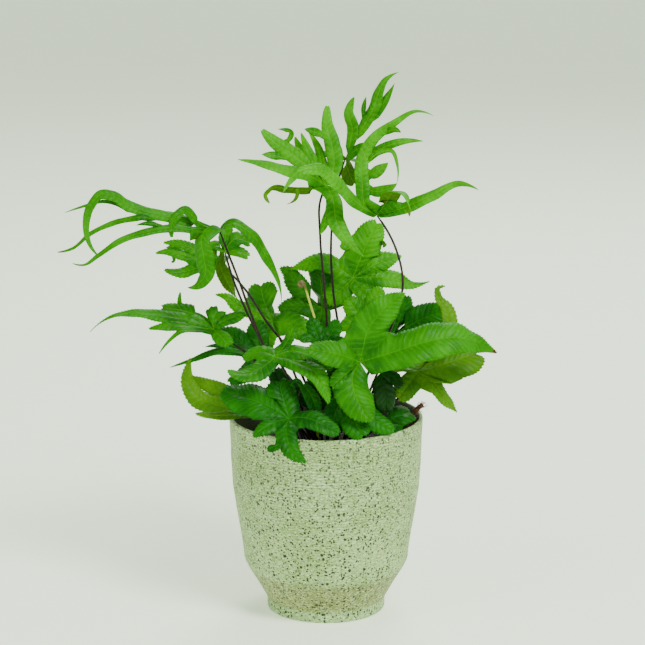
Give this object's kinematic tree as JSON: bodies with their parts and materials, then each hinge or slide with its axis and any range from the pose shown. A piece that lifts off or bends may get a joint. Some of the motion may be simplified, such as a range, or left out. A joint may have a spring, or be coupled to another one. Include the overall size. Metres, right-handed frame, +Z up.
{
  "type": "potted fern",
  "caption": "Potted live hand fern: wiry-stemmed fronds with slender finger-like lobes, some tall and arching, some bushy, in a speckled pale green pot with a chamfered foot.",
  "frame": {"origin": "middle of the flat underside of the pot's foot", "axes": "+Z up along the pot's axis, -Y towards the front of the fern, +X to the right seen from the front"},
  "size_m": [0.2902, 0.1474, 0.3613],
  "materials": {
    "pot": "matte",
    "soil": "matte",
    "leaf": "satin",
    "stem": "satin",
    "young_stem": "satin",
    "dry_stub": "matte"
  },
  "bodies": {
    "root": {"pot": "pot", "soil": "soil", "tall_front_stem": "stem", "tall_front_blade": "leaf", "tall_middle_stem": "stem", "tall_middle_blade": "leaf", "tall_back_stem": "stem", "tall_back_blade": "leaf", "left_arching_stem": "stem", "left_arching_blade": "leaf", "left_lower_stem": "stem", "left_lower_blade": "leaf", "left_small_stem": "stem", "left_small_blade": "leaf", "long_left_stem": "stem", "long_left_blade": "leaf", "shade_left_stem": "stem", "shade_left_blade": "leaf", "round_back_stem": "stem", "round_back_blade": "leaf", "back_left_stem": "stem", "back_left_blade": "leaf", "back_middle_stem": "stem", "back_middle_blade": "leaf", "back_right_stem": "stem", "back_right_blade": "leaf", "right_low_stem": "stem", "right_low_blade": "leaf", "front_right_stem": "stem", "front_right_blade": "leaf", "front_left_stem": "stem", "front_left_blade": "leaf", "over_rim_stem": "stem", "over_rim_blade": "leaf", "left_rim_stem": "stem", "left_rim_blade": "leaf", "deep_left_stem": "stem", "deep_left_blade": "leaf", "deep_middle_stem": "stem", "deep_middle_blade": "leaf", "ruffled_middle_stem": "stem", "ruffled_middle_blade": "leaf", "shade_right_stem": "stem", "shade_right_blade": "leaf", "low_middle_stem": "stem", "low_middle_blade": "leaf", "right_rim_stem": "stem", "right_rim_blade": "leaf", "folded_stem": "stem", "folded_blade": "leaf", "small_middle_stem": "stem", "small_middle_blade": "leaf", "crozier": "young_stem", "dry_stub": "dry_stub"}
  },
  "joints": []
}
